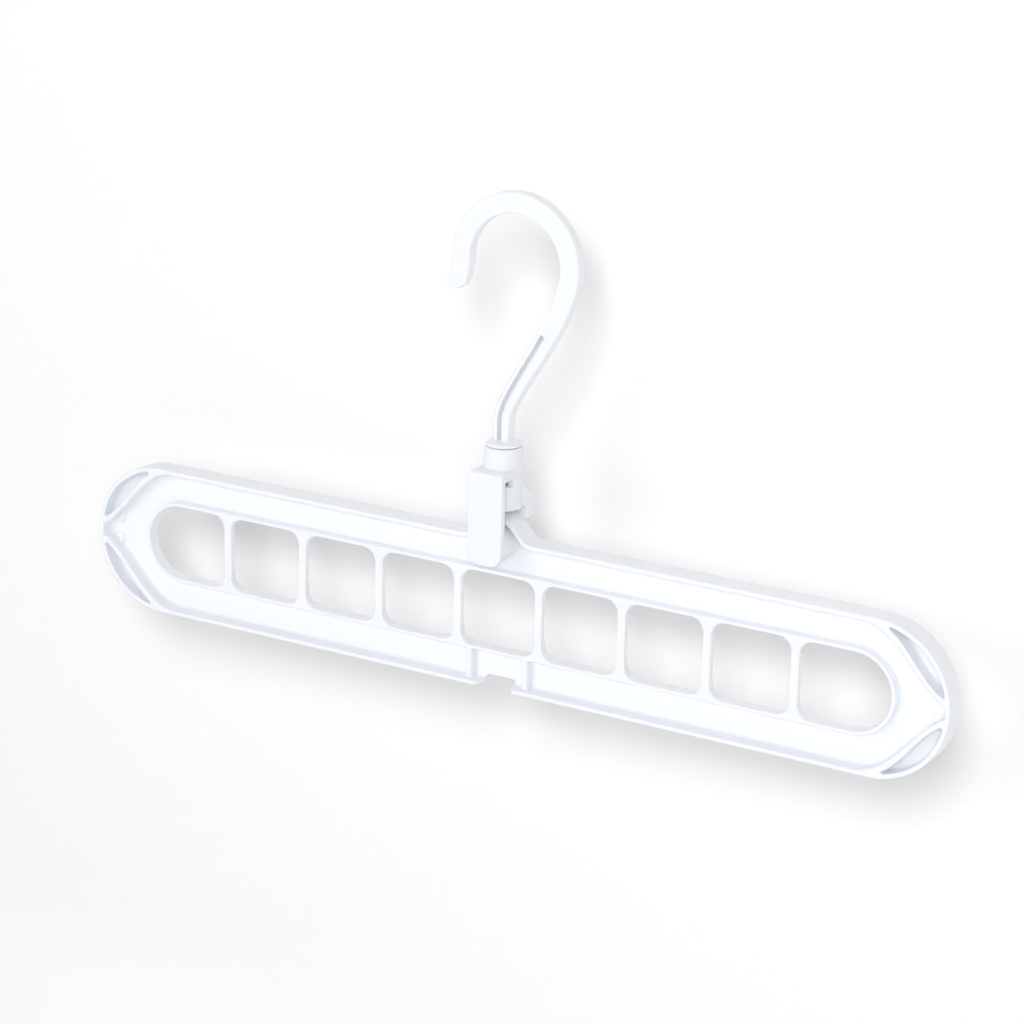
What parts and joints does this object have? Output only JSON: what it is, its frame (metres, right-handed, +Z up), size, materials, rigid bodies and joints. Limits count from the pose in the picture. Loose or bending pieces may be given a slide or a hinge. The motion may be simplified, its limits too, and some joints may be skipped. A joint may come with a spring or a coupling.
{
  "type": "nine-hole clothes hanger",
  "caption": "Straight plastic hanger bar with a row of window slots that hold other hangers' hooks, on a tilting yoke with a swivelling rod hook.",
  "frame": {"origin": "the point of the hook's inner crown that rests on the clothes rod, straight above the swivel axis and the bar's middle", "axes": "+X along the bar, away from the hook's open side; -Y out of the bar's front face; +Z up"},
  "size_m": [0.365, 0.0244, 0.1889],
  "materials": {
    "bar_white": "satin",
    "yoke_white": "satin",
    "hook_white": "satin"
  },
  "bodies": {
    "hook": {"hook": "hook_white"},
    "yoke": {"yoke": "yoke_white"},
    "bar": {"bar": "bar_white"}
  },
  "joints": [
    {"name": "hook_swivel", "type": "hinge", "parent": "hook", "child": "yoke", "pos_m": [0, 0, -0.087], "axis": [0, 0, 1], "continuous": true},
    {"name": "bar_tilt", "type": "hinge", "parent": "yoke", "child": "bar", "pos_m": [0, 0, -0.1226], "axis": [0, 1, 0], "range_deg": [-45, 45]}
  ]
}
